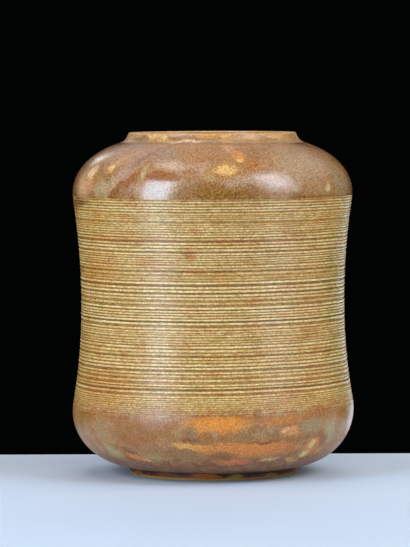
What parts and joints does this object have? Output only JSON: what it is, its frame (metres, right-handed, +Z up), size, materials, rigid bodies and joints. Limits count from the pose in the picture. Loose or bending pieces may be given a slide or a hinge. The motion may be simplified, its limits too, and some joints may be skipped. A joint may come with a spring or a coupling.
{
  "type": "cylindrical vase",
  "caption": "Waisted cylindrical stoneware vase with a short neck, a combed wall and a turned foot ring, thrown in sections and luted together.",
  "frame": {"origin": "centre of the foot's bottom, on the surface that the vase stands on", "axes": "+Z up along the vase's axis, out of the mouth; X and Y are alike, because the vase is turned"},
  "size_m": [0.2484, 0.2484, 0.3],
  "materials": {
    "iron_foot_glaze": "thin rust-brown glaze, satin",
    "bare_clay": "unglazed turned stoneware, matt",
    "lower_glaze": "caramel to olive glaze, semi-gloss",
    "combed_glaze": "glaze broken pale on the ridges and dark in the grooves, semi-gloss",
    "shoulder_glaze": "mottled caramel and mauve-grey glaze, semi-gloss",
    "rim_glaze": "thin caramel glaze broken pale on the lip, semi-gloss"
  },
  "bodies": {
    "root": {"foot_ring": "iron_foot_glaze", "base_disc": "bare_clay", "lower_bowl": "lower_glaze", "combed_wall": "combed_glaze", "shoulder": "shoulder_glaze", "neck_collar": "rim_glaze"}
  },
  "joints": []
}
